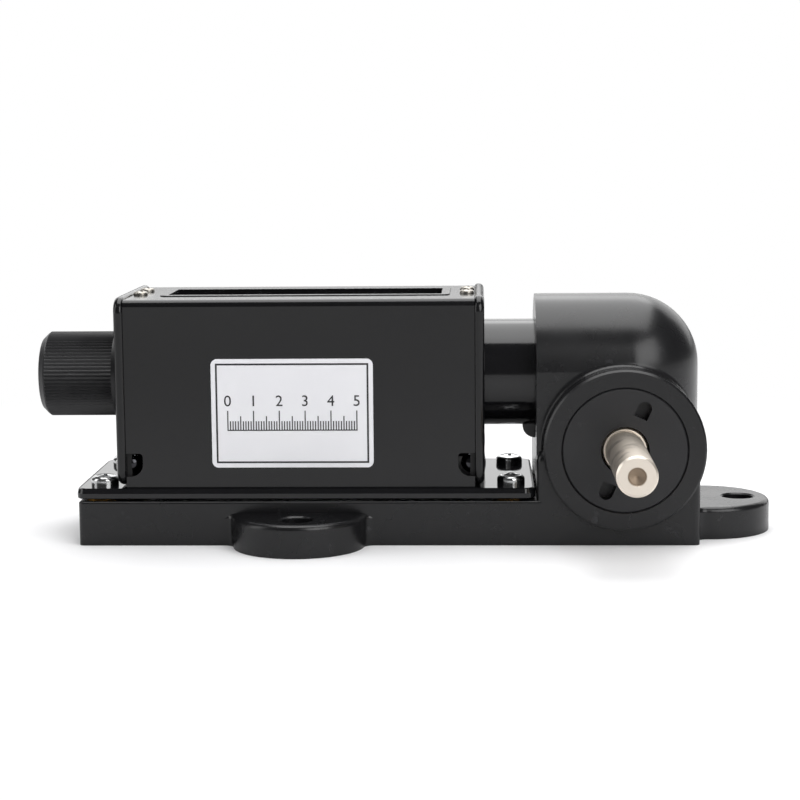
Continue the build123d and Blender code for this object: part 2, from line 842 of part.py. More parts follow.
def input_shaft():
    """Stepped shaft: the free end, then a thinner journal from just ahead of the collar."""
    rear_end = gear_well_back + rear_bush_length - side_clearance
    shoulder = collar_front - shoulder_relief
    shaft = along_y(input_radius, input_end, shoulder, input_x, input_height)
    shaft = chamfer(edges_on_circle(shaft, "Y", input_end, input_radius), input_end_chamfer)
    shaft += along_y(journal_radius, shoulder, rear_end, input_x, input_height)
    shaft -= Pos(input_x, input_end, input_height) * Rot(-90, 0, 0) * centre_hole()
    groove_front = gear_well_back - ring_thickness * 2 - side_clearance
    groove = along_y(journal_radius + 1, groove_front, groove_front + ring_thickness, input_x, input_height)
    groove -= along_y(ring_groove_radius, groove_front - 1, gear_well_back, input_x, input_height)
    shaft -= groove
    return shaft - drive_pin_body(seat_clearance)


def retaining_ring():
    """Open ring in the shaft's groove, just ahead of the rear bush."""
    y0 = gear_well_back - ring_thickness * 2 - side_clearance + seat_clearance
    y1 = y0 + ring_thickness - seat_clearance * 2
    ring = along_y(ring_outer_radius, y0, y1, input_x, input_height)
    ring -= along_y(ring_groove_radius + seat_clearance, y0 - 1, y1 + 1, input_x, input_height)
    mouth = ring_mouth / 2
    return ring - block(
        input_x - mouth, input_x + mouth, y0 - 1, y1 + 1, input_height - ring_outer_radius - 1, input_height
    )


def shaft_collar():
    """Ring on the journal, just inside the cap; a wheel's hub comes up to it."""
    y1 = collar_front + collar_length
    ring = along_y(collar_radius, collar_front, y1, input_x, input_height)
    ring = chamfer(edges_on_circle(ring, "Y", collar_front, collar_radius), collar_chamfer)
    return ring - along_y(journal_radius + seat_clearance, collar_front - 1, y1 + 1, input_x, input_height)


def drum_x(index):
    """Middle of a drum; drum 0 is the fastest one, nearest the gear housing."""
    return window_middle + drum_pitch * ((drum_count - 1) / 2 - index)


def counter_shaft():
    x0 = drum_x(0) + drum_width / 2 + side_clearance
    x1 = end_bush_left + end_bush_length - side_clearance
    shaft = along_x(counter_radius, x0, x1, 0, counter_height)
    shaft += along_x(drive_disc_radius, x0, x0 + drive_disc_thickness, 0, counter_height)
    for y in (-dog_ring_radius, dog_ring_radius):
        shaft += along_x(dog_radius, x0 - dog_length, x0, y, counter_height)
    pilot_end = x0 + reset_pilot_length + side_clearance
    shaft -= along_x(reset_pilot_radius + running_clearance, x0 - 1, pilot_end, 0, counter_height)
    return shaft - driven_pin_body(seat_clearance)


def reset_shaft():
    x0 = knob_left + knob_end_wall
    x1 = drum_x(0) + drum_width / 2
    shaft = along_x(reset_radius, x0, x1, 0, counter_height)
    shaft += along_x(reset_pilot_radius, x1, x1 + reset_pilot_length, 0, counter_height)
    key_left = drum_x(drum_count - 1) - drum_width / 2
    bottom = counter_height + reset_radius - key_depth
    return shaft - block(key_left, x1, -key_width / 2, key_width / 2, bottom, bottom + reset_radius)


def stop_collar():
    """Ring on the zero-setting shaft that takes the row of drums up to the left."""
    x0 = cover_left + reset_bush_flange + side_clearance
    x1 = drum_x(drum_count - 1) - drum_width / 2 - side_clearance
    ring = along_x(drum_hub_radius, x0, x1, 0, counter_height)
    return ring - along_x(reset_radius + seat_clearance, x0 - 1, x1 + 1, 0, counter_height)


# Number drums and carry pinions


def lock_radius():
    """Just clear of the pinion's tips."""
    return pinion_distance - pinion_tip_radius - side_clearance


def drum(index):
    """Number drum: rim, web, hub, ring of teeth to the right and locking disc to the left."""
    half = drum_width / 2
    body = Cylinder(drum_radius, drum_width) - Cylinder(drum_radius - drum_wall, drum_width + 1)
    body += Cylinder(drum_radius - drum_wall / 2, drum_web)
    hub_right = half
    hub_left = -half
    if index > 0:
        sleeve = ring_pitch_radius - dedendum_share * carry_module - drum_sleeve_step
        phase = math.pi / 2 + math.pi / ring_teeth
        teeth = tooth_face(
            ring_teeth, ring_pitch_radius, carry_module, phase, carry_tooth_share, carry_tooth_taper
        )
        body += extrude(Plane.XY.offset(half) * teeth, ring_width)
        body += Pos(0, 0, half / 2) * Cylinder(sleeve, half)
        body += Pos(0, 0, half + ring_width / 2) * Cylinder(sleeve, ring_width)
        hub_right = half + ring_width
    if index < drum_count - 1:
        lock = lock_radius() - lock_step
        hub_left = -half - lock_width
        body += Pos(0, 0, (hub_left - drum_web / 2) / 2) * Cylinder(lock, -hub_left - drum_web / 2)
        # The two carry teeth, on the side away from the pinion
        for turn in (-carry_tooth_angle, carry_tooth_angle):
            tooth = Box(carry_tooth_height, carry_tooth_width, lock_width)
            tooth = Pos(lock, 0, hub_left + lock_width / 2) * tooth
            body += Rot(0, 0, 90 + turn) * tooth
    body += Pos(0, 0, (hub_right + hub_left) / 2) * Cylinder(drum_hub_radius, hub_right - hub_left)
    body -= Cylinder(reset_radius + running_clearance, drum_width * 3)
    body = facing_x(body, drum_x(index), counter_height)
    if index == 0:
        for side in (-1, 1):
            y = side * dog_ring_radius
            x = drum_x(0)
            body -= along_x(dog_radius + seat_clearance, x - half, x + half, y, counter_height)
    return body


def carry_pinion(index):
    """Pinion between drum index and the next slower drum, in mesh with that drum's ring."""
    width = drum_gap - pinion_side_gap * 2
    middle = drum_x(index) - drum_pitch / 2
    teeth = tooth_face(
        pinion_teeth, pinion_pitch_radius, carry_module, math.pi / 2, carry_tooth_share, carry_tooth_taper
    )
    body = extrude(Pos(0, 0, -width / 2) * teeth, width)
    body -= Cylinder(pinion_shaft_radius + running_clearance, width * 2)
    return facing_x(body, middle, pinion_height)


def pinion_shaft():
    x0 = box_left + pinion_shaft_inset
    return along_x(pinion_shaft_radius, x0, box_right - pinion_shaft_inset, 0, pinion_height)


# Knob


def reset_knob():
    """Ribbed knob: chamfered lip, fine ribs all round and a plain collar beside the box."""
    ribs_left = knob_left + knob_lip_length
    ribs_right = knob_right - knob_collar_length
    lip = along_x(knob_radius - knob_rib_depth, knob_left, ribs_left, 0, counter_height)
    lip = chamfer(edges_on_circle(lip, "X", knob_left, knob_radius - knob_rib_depth), knob_lip_chamfer)
    points = []
    for i in range(knob_ribs * 2):
        angle = math.pi * i / knob_ribs
        radius = knob_radius - (knob_rib_depth if i % 2 else 0)
        points.append((radius * math.cos(angle), radius * math.sin(angle)))
    end = Plane(origin=(ribs_left, 0, counter_height), x_dir=(0, 1, 0), z_dir=(1, 0, 0))
    knob = lip + extrude(end * make_face(Polyline(*points, close=True)), ribs_right - ribs_left)
    knob += along_x(knob_radius, ribs_right, knob_right, 0, counter_height)
    bore_end = knob_left + knob_end_wall
    knob -= along_x(reset_radius + seat_clearance, bore_end, knob_right + 1, 0, counter_height)
    x = knob_right - knob_screw_inset
    return knob - along_y(knob_screw_radius + seat_clearance, 0, knob_radius + 1, x, counter_height)


def knob_screw():
    """Grub screw through the ribbed part onto the shaft, on the far side."""
    x = knob_right - knob_screw_inset
    y0 = reset_radius + seat_clearance
    return along_y(knob_screw_radius, y0, y0 + knob_screw_length, x, counter_height)


def group(pieces):
    return Compound(children=[piece.solids()[0] for piece in pieces])


save("base_housing", base_housing())
save("bottom_plate", bottom_plate())
save("plate_screws", group(plate_screws()))
save("brass_spacers", group(brass_spacers()))
save("case_cover", case_cover())
save("left_side_plate", left_side_plate())
save("right_side_plate", right_side_plate())
save("side_rivets", group(side_rivets()))
save("left_angle", side_angle(cover_left, 1))
save("right_angle", side_angle(cover_right, -1))
save("angle_screws", group(angle_screws()))
save("top_screws", group(top_screws()))
save("window_pane", window_pane())
save("window_bezel", window_bezel())
save("label_plate", label_plate())
save("connecting_tube", connecting_tube())
save("end_cap", end_cap())
save("front_bush", front_bush())
save("rear_bush", rear_bush())
save("end_bush", end_bush())
save("tube_bush", tube_bush())
save("reset_bush", reset_bush())
save("drive_gear", drive_gear())
save("driven_gear", driven_gear())
save("drive_gear_pin", drive_pin_body(0))
save("driven_gear_pin", driven_pin_body(0))
save("input_shaft", input_shaft())
save("retaining_ring", retaining_ring())
save("shaft_collar", shaft_collar())
save("counter_shaft", counter_shaft())
save("reset_shaft", reset_shaft())
save("stop_collar", stop_collar())
drum_names = ("drum_tenths", "drum_ones", "drum_tens", "drum_hundreds", "drum_thousands")
for number, drum_name in enumerate(drum_names):
    save(drum_name, drum(number))
for number in range(drum_count - 1):
    save(f"carry_pinion_{number + 1}", carry_pinion(number))
save("pinion_shaft", pinion_shaft())
save("reset_knob", reset_knob())
save("knob_screw", knob_screw())
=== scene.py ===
import json
import math

import bpy
from mathutils import Matrix, Vector


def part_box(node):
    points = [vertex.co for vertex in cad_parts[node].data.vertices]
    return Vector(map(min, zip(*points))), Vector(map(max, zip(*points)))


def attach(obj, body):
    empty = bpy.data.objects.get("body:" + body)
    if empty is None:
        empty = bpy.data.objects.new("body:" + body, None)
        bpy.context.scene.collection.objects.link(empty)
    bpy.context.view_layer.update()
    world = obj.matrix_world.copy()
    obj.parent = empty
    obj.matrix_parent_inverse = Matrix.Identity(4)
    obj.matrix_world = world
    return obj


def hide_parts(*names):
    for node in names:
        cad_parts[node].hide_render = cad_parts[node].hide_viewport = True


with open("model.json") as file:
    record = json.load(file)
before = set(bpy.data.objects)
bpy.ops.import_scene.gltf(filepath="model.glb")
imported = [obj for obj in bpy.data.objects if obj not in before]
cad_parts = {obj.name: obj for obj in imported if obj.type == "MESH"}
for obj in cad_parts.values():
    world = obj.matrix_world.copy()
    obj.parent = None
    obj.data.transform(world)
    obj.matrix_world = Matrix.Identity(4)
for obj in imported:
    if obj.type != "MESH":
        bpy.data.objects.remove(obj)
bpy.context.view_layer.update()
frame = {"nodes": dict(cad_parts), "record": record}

print("frame loaded")
bpy.ops.object.select_all(action="DESELECT")
mm = 0.001


# small helpers

def hexColour(text):
    # an sRGB hex value, turned to linear
    parts = []
    for start in (1, 3, 5):
        value = int(text[start:start + 2], 16) / 255
        parts.append(value / 12.92 if value <= 0.04045 else ((value + 0.055) / 1.055) ** 2.4)
    return (*parts, 1.0)


def addNode(tree, kind, settings=None, links=None):
    node = tree.nodes.new(kind)
    for key, value in (settings or {}).items():
        if isinstance(key, int) or key in node.inputs:
            node.inputs[key].default_value = value
        else:
            setattr(node, key, value)
    for key, socket in (links or {}).items():
        tree.links.new(socket, node.inputs[key])
    return node


def newMaterial(name):
    material = bpy.data.materials.new(name)
    material.use_nodes = True
    tree = material.node_tree
    tree.nodes.clear()
    place = addNode(tree, "ShaderNodeTexCoord").outputs["Object"]
    return material, tree, place


def dress(nodeName, material):
    piece = frame["nodes"][nodeName]
    piece.data.materials.clear()
    piece.data.materials.append(material)


# materials

# the levels of a noise pattern between which it takes effect
patternValues = {
    "glossLow": 0.3,
    "glossHigh": 0.7,
    "scuffStart": 0.62,
    "scuffFull": 0.72,
    "tarnishStart": 0.5,
    "tarnishFull": 0.75,
    "hazeStart": 0.35,
    "hazeFull": 0.7,
}


def finishSurface(tree, values, settings, colour, gloss, relief, centreShade=None):
    # one pattern moves the roughness between its two values, another stands out as fine relief
    rough = addNode(tree, "ShaderNodeMapRange",
                    {"From Min": patternValues["glossLow"], "From Max": patternValues["glossHigh"],
                     "To Min": values["roughLow"], "To Max": values["roughHigh"]},
                    {"Value": gloss}).outputs[0]
    # the turning centre's painted shade also raises the roughness where it lies
    if centreShade is not None:
        rough = addNode(tree, "ShaderNodeMath",
                        {"operation": "MULTIPLY_ADD", 1: values["centreShadeDulling"]},
                        {0: centreShade, 2: rough}).outputs[0]
    bump = addNode(tree, "ShaderNodeBump", {"Strength": values["bump"], "Distance": values["bumpDepth"]},
                   {"Height": relief})
    shader = addNode(tree, "ShaderNodeBsdfPrincipled", settings,
                     {"Base Color": colour, "Roughness": rough, "Normal": bump.outputs[0]})
    addNode(tree, "ShaderNodeOutputMaterial", links={"Surface": shader.outputs[0]})


def blackMoulding(name, values):
    # moulded in a polished tool: satin skin with a fine grain, faint flow mottling and pale rubbed scuffs;
    # the grain is drawn coarser than the real one, so that it shows
    material, tree, place = newMaterial(name)
    mottle = addNode(tree, "ShaderNodeTexNoise",
                     {"Scale": 1 / values["mottleSize"], "Detail": 3.0}, {"Vector": place})
    grain = addNode(tree, "ShaderNodeTexNoise",
                    {"Scale": 1 / values["grainSize"], "Detail": 2.0}, {"Vector": place})
    scuffs = addNode(tree, "ShaderNodeTexNoise",
                     {"Scale": 1 / values["scuffSize"], "Detail": 5.0, "Roughness": 0.7}, {"Vector": place})
    scuffMask = addNode(tree, "ShaderNodeMapRange",
                        {"From Min": patternValues["scuffStart"], "From Max": patternValues["scuffFull"],
                         "To Min": 0.0, "To Max": 1.0},
                        {"Value": scuffs.outputs["Fac"]})
    colour = addNode(tree, "ShaderNodeMix",
                     {"data_type": "RGBA", 6: values["colour"], 7: values["paleColour"]},
                     {0: mottle.outputs["Fac"]})
    worn = addNode(tree, "ShaderNodeMix", {"data_type": "RGBA", 7: values["scuffColour"]},
                   {0: scuffMask.outputs[0], 6: colour.outputs[2]})
    finishSurface(tree, values, {"IOR": values["index"]},
                  worn.outputs[2], mottle.outputs["Fac"], grain.outputs["Fac"])
    return material


def blackEnamel(name, values):
    # sprayed and stoved on sheet: glossy, with a slight orange peel and wiped smears that dull it in places
    material, tree, place = newMaterial(name)
    peel = addNode(tree, "ShaderNodeTexNoise",
                   {"Scale": 1 / values["peelSize"], "Detail": 1.5}, {"Vector": place})
    smear = addNode(tree, "ShaderNodeTexNoise",
                    {"Scale": 1 / values["smearSize"], "Detail": 4.0}, {"Vector": place})
    colour = addNode(tree, "ShaderNodeMix",
                     {"data_type": "RGBA", 6: values["colour"], 7: values["paleColour"]},
                     {0: smear.outputs["Fac"]})
    finishSurface(tree, values, {"IOR": values["index"]},
                  colour.outputs[2], smear.outputs["Fac"], peel.outputs["Fac"])
    return material


def ringsAndTarnish(tree, place, values):
    # the rings are drawn coarser than a real grinding or turning mark, so that they show
    stretch = addNode(tree, "ShaderNodeMapping", {"Scale": values["ringStretch"]}, {"Vector": place})
    rings = addNode(tree, "ShaderNodeTexNoise", {"Scale": 1 / values["ringSize"], "Detail": 2.0},
                    {"Vector": stretch.outputs[0]})
    blotches = addNode(tree, "ShaderNodeTexNoise",
                       {"Scale": 1 / values["tarnishSize"], "Detail": 4.0}, {"Vector": place})
    tarnish = addNode(tree, "ShaderNodeMapRange",
                      {"From Min": patternValues["tarnishStart"], "From Max": patternValues["tarnishFull"],
                       "To Min": 0.0, "To Max": values["tarnish"]},
                      {"Value": blotches.outputs["Fac"]})
    return rings.outputs["Fac"], tarnish.outputs[0]


def turnedMetal(name, values):
    # ground, turned or plated: fine rings round the axis or an even tooth, under a light tarnish
    material, tree, place = newMaterial(name)
    rings, tarnish = ringsAndTarnish(tree, place, values)
    colour = addNode(tree, "ShaderNodeMix",
                     {"data_type": "RGBA", 6: values["colour"], 7: values["tarnishColour"]},
                     {0: tarnish})
    finishSurface(tree, values, {"Metallic": 1.0}, colour.outputs[2], rings, rings)
    return material


def facedShaftSteel(name, values):
    # ground bar: its faced end stays bright, and its turning centre is painted a darker, duller brown as
    # painted shade in the recess
    material, tree, place = newMaterial(name)
    rings, tarnish = ringsAndTarnish(tree, place, values)
    reach = addNode(tree, "ShaderNodeVectorMath",
                    {"operation": "DISTANCE", 1: values["centre"]}, {0: place})
    handled = addNode(tree, "ShaderNodeMapRange",
                      {"From Min": values["faceRadius"], "From Max": values["handledRadius"],
                       "To Min": 0.0, "To Max": 1.0},
                      {"Value": reach.outputs["Value"]})
    tarnished = addNode(tree, "ShaderNodeMath", {"operation": "MULTIPLY"},
                        {0: tarnish, 1: handled.outputs[0]})
    colour = addNode(tree, "ShaderNodeMix",
                     {"data_type": "RGBA", 6: values["colour"], 7: values["tarnishColour"]},
                     {0: tarnished.outputs[0]})
    # painted shade: the turning centre is darkened towards a brown and made duller
    centreShade = addNode(tree, "ShaderNodeMapRange",
                     {"From Min": values["centreShadeRadius"], "From Max": values["centreShadeEdge"],
                      "To Min": values["centreShade"], "To Max": 0.0},
                     {"Value": reach.outputs["Value"]})
    centreShaded = addNode(tree, "ShaderNodeMix", {"data_type": "RGBA", 7: values["centreShadeColour"]},
                      {0: centreShade.outputs[0], 6: colour.outputs[2]})
    finishSurface(tree, values, {"Metallic": 1.0}, centreShaded.outputs[2], rings, rings, centreShade.outputs[0])
    return material


def clearSheet(name, values):
    # cast and polished: smooth, with a faint haze from cleaning
    material, tree, place = newMaterial(name)
    haze = addNode(tree, "ShaderNodeTexNoise",
                   {"Scale": 1 / values["hazeSize"], "Detail": 3.0}, {"Vector": place})
    rough = addNode(tree, "ShaderNodeMapRange",
                    {"From Min": patternValues["hazeStart"], "From Max": patternValues["hazeFull"],
                     "To Min": values["roughLow"], "To Max": values["roughHigh"]},
                    {"Value": haze.outputs["Fac"]})
    shader = addNode(tree, "ShaderNodeBsdfPrincipled",
                     {"Base Color": values["colour"], "IOR": values["index"], "Transmission Weight": 1.0},
                     {"Roughness": rough.outputs[0]})
    addNode(tree, "ShaderNodeOutputMaterial", links={"Surface": shader.outputs[0]})
    return material


def printedSurface(name, values):
    # screen print or a rolled coat: even colour with a fine tooth and a slightly uneven film;
    # the tooth is drawn coarser than the real one, so that it shows
    material, tree, place = newMaterial(name)
    tooth = addNode(tree, "ShaderNodeTexNoise",
                    {"Scale": 1 / values["toothSize"], "Detail": 2.0}, {"Vector": place})
    film = addNode(tree, "ShaderNodeTexNoise",
                   {"Scale": 1 / values["filmSize"], "Detail": 2.0}, {"Vector": place})
    colour = addNode(tree, "ShaderNodeMix",
                     {"data_type": "RGBA", 6: values["colour"], 7: values["otherColour"]},
                     {0: film.outputs["Fac"]})
    finishSurface(tree, values, {"IOR": values["index"]},
                  colour.outputs[2], film.outputs["Fac"], tooth.outputs["Fac"])
    return material


# phenolic moulding of the base and gear housing: deep black with a satin gloss
housingMoulding = blackMoulding("blackPhenolicMoulding", {
    "colour": hexColour("#121213"), "paleColour": hexColour("#18181A"), "scuffColour": hexColour("#2C2C2E"),
    "mottleSize": 14 * mm, "grainSize": 0.35 * mm, "scuffSize": 6 * mm, "index": 1.46,
    "roughLow": 0.23, "roughHigh": 0.31, "bump": 0.2, "bumpDepth": 0.02 * mm})
# the same stock turned to a cap: its cut face is duller and a little greyer
capMoulding = blackMoulding("blackTurnedCap", {
    "colour": hexColour("#1B1B1D"), "paleColour": hexColour("#222224"), "scuffColour": hexColour("#303032"),
    "mottleSize": 9 * mm, "grainSize": 0.3 * mm, "scuffSize": 5 * mm, "index": 1.46,
    "roughLow": 0.34, "roughHigh": 0.44, "bump": 0.2, "bumpDepth": 0.02 * mm})
# ABS knob moulded with fine ribs: matt from handling, so the ribs show as soft grey lines
knobMoulding = blackMoulding("blackKnobMoulding", {
    "colour": hexColour("#19191B"), "paleColour": hexColour("#202022"), "scuffColour": hexColour("#303032"),
    "mottleSize": 6 * mm, "grainSize": 0.25 * mm, "scuffSize": 4 * mm, "index": 1.5,
    "roughLow": 0.38, "roughHigh": 0.5, "bump": 0.15, "bumpDepth": 0.02 * mm})
# stoved enamel on the cover and the side plates: an even, slightly soft mirror
caseEnamel = blackEnamel("blackStovedEnamel", {
    "colour": hexColour("#0F0F10"), "paleColour": hexColour("#131315"),
    "peelSize": 1.6 * mm, "smearSize": 18 * mm, "index": 1.45,
    "roughLow": 0.13, "roughHigh": 0.2, "bump": 0.1, "bumpDepth": 0.02 * mm})
# a thicker gloss coat on the pressed bottom plate: it mirrors the screws, with some orange peel
trayEnamel = blackEnamel("blackGlossTrayEnamel", {
    "colour": hexColour("#111113"), "paleColour": hexColour("#161618"),
    "peelSize": 0.9 * mm, "smearSize": 12 * mm, "index": 1.46,
    "roughLow": 0.05, "roughHigh": 0.1, "bump": 0.3, "bumpDepth": 0.02 * mm})
# gloss coat on drawn tube: the lamps run along it as bands with clear edges
tubeEnamel = blackEnamel("blackGlossTubeEnamel", {
    "colour": hexColour("#111113"), "paleColour": hexColour("#161618"),
    "peelSize": 2.2 * mm, "smearSize": 8 * mm, "index": 1.48,
    "roughLow": 0.1, "roughHigh": 0.16, "bump": 0.08, "bumpDepth": 0.02 * mm})
# enamelled frame of the window, stoved as the cover is and of the same soft gloss
bezelEnamel = blackEnamel("blackGlossBezel", {
    "colour": hexColour("#121214"), "paleColour": hexColour("#17171A"),
    "peelSize": 2.0 * mm, "smearSize": 9 * mm, "index": 1.45,
    "roughLow": 0.13, "roughHigh": 0.2, "bump": 0.08, "bumpDepth": 0.02 * mm})
# matt ABS drums, so that only the figures stand out
drumMoulding = blackMoulding("mattBlackDrum", {
    "colour": hexColour("#101011"), "paleColour": hexColour("#161617"), "scuffColour": hexColour("#202021"),
    "mottleSize": 5 * mm, "grainSize": 0.2 * mm, "scuffSize": 3 * mm, "index": 1.5,
    "roughLow": 0.5, "roughHigh": 0.6, "bump": 0.1, "bumpDepth": 0.02 * mm})
# undyed nylon, moulded: milky and dull
pinionNylon = blackMoulding("naturalNylon", {
    "colour": hexColour("#E6E1D2"), "paleColour": hexColour("#DDD7C6"), "scuffColour": hexColour("#CFC8B4"),
    "mottleSize": 4 * mm, "grainSize": 0.2 * mm, "scuffSize": 3 * mm, "index": 1.53,
    "roughLow": 0.4, "roughHigh": 0.5, "bump": 0.1, "bumpDepth": 0.02 * mm})
# ground drive shaft, handled behind its bright face: warm grey with brown blotches, rings round Y
shaftLow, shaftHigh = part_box("input_shaft")
centreDepth = 0.4 * mm  # how far behind the end face the painted shade of the turning centre is darkest
driveSteel = facedShaftSteel("groundDriveSteel", {
    "colour": hexColour("#F0E6D9"), "tarnishColour": hexColour("#7F7263"), "tarnish": 0.9,
    "ringStretch": (0.06, 1.0, 0.06), "ringSize": 0.35 * mm, "tarnishSize": 7 * mm,
    "roughLow": 0.36, "roughHigh": 0.42, "bump": 0.04, "bumpDepth": 0.02 * mm,
    "centre": ((shaftLow.x + shaftHigh.x) / 2, shaftLow.y + centreDepth, (shaftLow.z + shaftHigh.z) / 2),
    "faceRadius": 4.8 * mm, "handledRadius": 5.76 * mm,
    # painted shade in the turning centre: its strength, brown and dulling, then its radius and edge
    "centreShade": 0.85, "centreShadeColour": hexColour("#8A7660"), "centreShadeDulling": 0.3,
    "centreShadeRadius": 2.04 * mm, "centreShadeEdge": 2.4 * mm})
# ground steel of the drive gear and the shafts inside, clean and brighter; the shafts' rings run round X
lineSteel = turnedMetal("groundLineSteel", {
    "colour": hexColour("#CFCDCA"), "tarnishColour": hexColour("#9D968C"), "tarnish": 0.4,
    "ringStretch": (1.0, 0.06, 0.06), "ringSize": 0.35 * mm, "tarnishSize": 6 * mm,
    "roughLow": 0.22, "roughHigh": 0.36, "bump": 0.15, "bumpDepth": 0.02 * mm})
# bright zinc on cold-headed screws and pins: mirrors lamps and dark room in hard patches
zincPlating = turnedMetal("brightZincPlating", {
    "colour": hexColour("#C4C5C6"), "tarnishColour": hexColour("#A3A19C"), "tarnish": 0.5,
    "ringStretch": (1.0, 1.0, 1.0), "ringSize": 1.5 * mm, "tarnishSize": 3 * mm,
    "roughLow": 0.14, "roughHigh": 0.2, "bump": 0.05, "bumpDepth": 0.02 * mm})
# old zinc on the small top screws: clouded and warm grey
dullPlating = turnedMetal("dullTopScrewPlating", {
    "colour": hexColour("#A9A59E"), "tarnishColour": hexColour("#837C72"), "tarnish": 0.6,
    "ringStretch": (1.0, 1.0, 1.0), "ringSize": 0.4 * mm, "tarnishSize": 1.5 * mm,
    "roughLow": 0.32, "roughHigh": 0.44, "bump": 0.08, "bumpDepth": 0.02 * mm})
# sintered bronze soaked with oil: dark brown and dull
oiledBronze = turnedMetal("oilDarkSinteredBronze", {
    "colour": hexColour("#4E3D2C"), "tarnishColour": hexColour("#2E251C"), "tarnish": 0.7,
    "ringStretch": (1.0, 1.0, 1.0), "ringSize": 0.3 * mm, "tarnishSize": 2 * mm,
    "roughLow": 0.42, "roughHigh": 0.55, "bump": 0.2, "bumpDepth": 0.02 * mm})
# rivets, ring and grub screw blackened in a bath: a smooth dark mirror, worn grey in spots
blackenedSteel = turnedMetal("blackenedSteel", {
    "colour": hexColour("#3A3A3D"), "tarnishColour": hexColour("#5A5A5C"), "tarnish": 0.4,
    "ringStretch": (1.0, 1.0, 1.0), "ringSize": 0.5 * mm, "tarnishSize": 2 * mm,
    "roughLow": 0.1, "roughHigh": 0.16, "bump": 0.04, "bumpDepth": 0.02 * mm})
# turned brass of the spacers, bushes, driven gear and collar: warm yellow that browns in spots
turnedBrass = turnedMetal("turnedBrass", {
    "colour": hexColour("#D8A24C"), "tarnishColour": hexColour("#A9702A"), "tarnish": 0.5,
    "ringStretch": (1.0, 1.0, 1.0), "ringSize": 0.4 * mm, "tarnishSize": 3 * mm,
    "roughLow": 0.2, "roughHigh": 0.35, "bump": 0.15, "bumpDepth": 0.02 * mm})
# polished acrylic pane of the window: clear, with a faint haze where it was wiped
clearAcrylic = clearSheet("clearAcrylic", {
    "colour": hexColour("#F4F7F7"), "index": 1.49, "hazeSize": 9 * mm, "roughLow": 0.02, "roughHigh": 0.08})
# rolled white coat on the label's metal plate: an even satin white
labelCoat = printedSurface("whiteCoatedPlate", {
    "colour": hexColour("#F7F7FA"), "otherColour": hexColour("#F1F1F5"), "index": 1.5,
    "toothSize": 0.2 * mm, "filmSize": 12 * mm,
    "roughLow": 0.35, "roughHigh": 0.45, "bump": 0.1, "bumpDepth": 0.01 * mm})
# paint rolled into the drums' figures: slightly off white
whitePaint = printedSurface("whiteFigurePaint", {
    "colour": hexColour("#E4E4E0"), "otherColour": hexColour("#D8D8D3"), "index": 1.5,
    "toothSize": 0.15 * mm, "filmSize": 3 * mm,
    "roughLow": 0.4, "roughHigh": 0.5, "bump": 0.1, "bumpDepth": 0.01 * mm})
# screen printing ink of the border and rule: soft black
blackInk = printedSurface("blackPrintInk", {
    "colour": hexColour("#1C1C1E"), "otherColour": hexColour("#242426"), "index": 1.5,
    "toothSize": 0.15 * mm, "filmSize": 4 * mm,
    "roughLow": 0.4, "roughHigh": 0.5, "bump": 0.1, "bumpDepth": 0.01 * mm})
print("materials made")

# by the record's slots; a few nodes then get a finish of their own
finishes = {
    "moulding_black": housingMoulding,
    "tray_black": trayEnamel,
    "case_black": caseEnamel,
    "tube_black": tubeEnamel,
    "cap_black": capMoulding,
    "knob_black": knobMoulding,
    "shaft_steel": lineSteel,
    "screw_steel": zincPlating,
    "screw_black": blackenedSteel,
    "brass": turnedBrass,
    "drum_black": drumMoulding,
    "pinion_nylon": pinionNylon,
    "window_clear": clearAcrylic,
    "bezel_black": bezelEnamel,
    "label_white": labelCoat,
}
for entry in frame["record"]["subparts"]:
    dress(entry["node"], finishes[entry["material_slot"]])
for nodeName in ("input_shaft", "shaft_collar"):
    dress(nodeName, driveSteel)
for nodeName in ("front_bush", "rear_bush"):
    dress(nodeName, oiledBronze)
# the angles' matt paint looks as the drums' moulding does
for nodeName in ("left_angle", "right_angle"):
    dress(nodeName, drumMoulding)
dress("top_screws", dullPlating)
print("frame dressed")


# shared steps of the scene's own pieces

def clearSelection(kind):
    # leaves the mesh with nothing selected, ready for faces or edges to be picked in code
    bpy.ops.object.mode_set(mode="EDIT")
    bpy.ops.mesh.select_mode(type=kind)
    bpy.ops.mesh.select_all(action="DESELECT")
    bpy.ops.object.mode_set(mode="OBJECT")


def joinPieces(pieces):
    bpy.ops.object.select_all(action="DESELECT")
    for piece in pieces:
        piece.select_set(True)
    bpy.context.view_layer.objects.active = pieces[0]
    bpy.ops.object.join()
    return bpy.context.object


def finishPiece(piece, name, material, body):
    # gives a piece its name and finish and the body it moves with
    piece.name = name
    piece.data.materials.clear()
    piece.data.materials.append(material)
    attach(piece, body)
    bpy.ops.object.select_all(action="DESELECT")


# bottom plate: its edge slopes back a little above a low upright face, as pressed sheet does

trayValues = {
    "cornerRadius": 3.0 * mm,
    "cornerSteps": 8,
    "uprightBottom": 0.22 * mm,
    "uprightTop": 1.4 * mm,
    "slopeInset": 0.3 * mm,
    "crownInset": 0.5 * mm,
    "crownDrop": 0.16 * mm,
    "rimInset": 0.22 * mm,
    "sheet": 1.2 * mm,
    "smoothAngle": 12,
    "levelFace": 0.9,  # a face counts as level from this share of an upright normal on
}


def shapeFace(piece, side, steps):
    # insets the top or bottom face step by step, each with its own rise along the face's normal
    clearSelection("FACE")
    for face in piece.data.polygons:
        face.select = face.normal.z * side > trayValues["levelFace"]
    bpy.ops.object.mode_set(mode="EDIT")
    for thickness, depth in steps:
        bpy.ops.mesh.inset(thickness=thickness, depth=depth)
    bpy.ops.object.mode_set(mode="OBJECT")


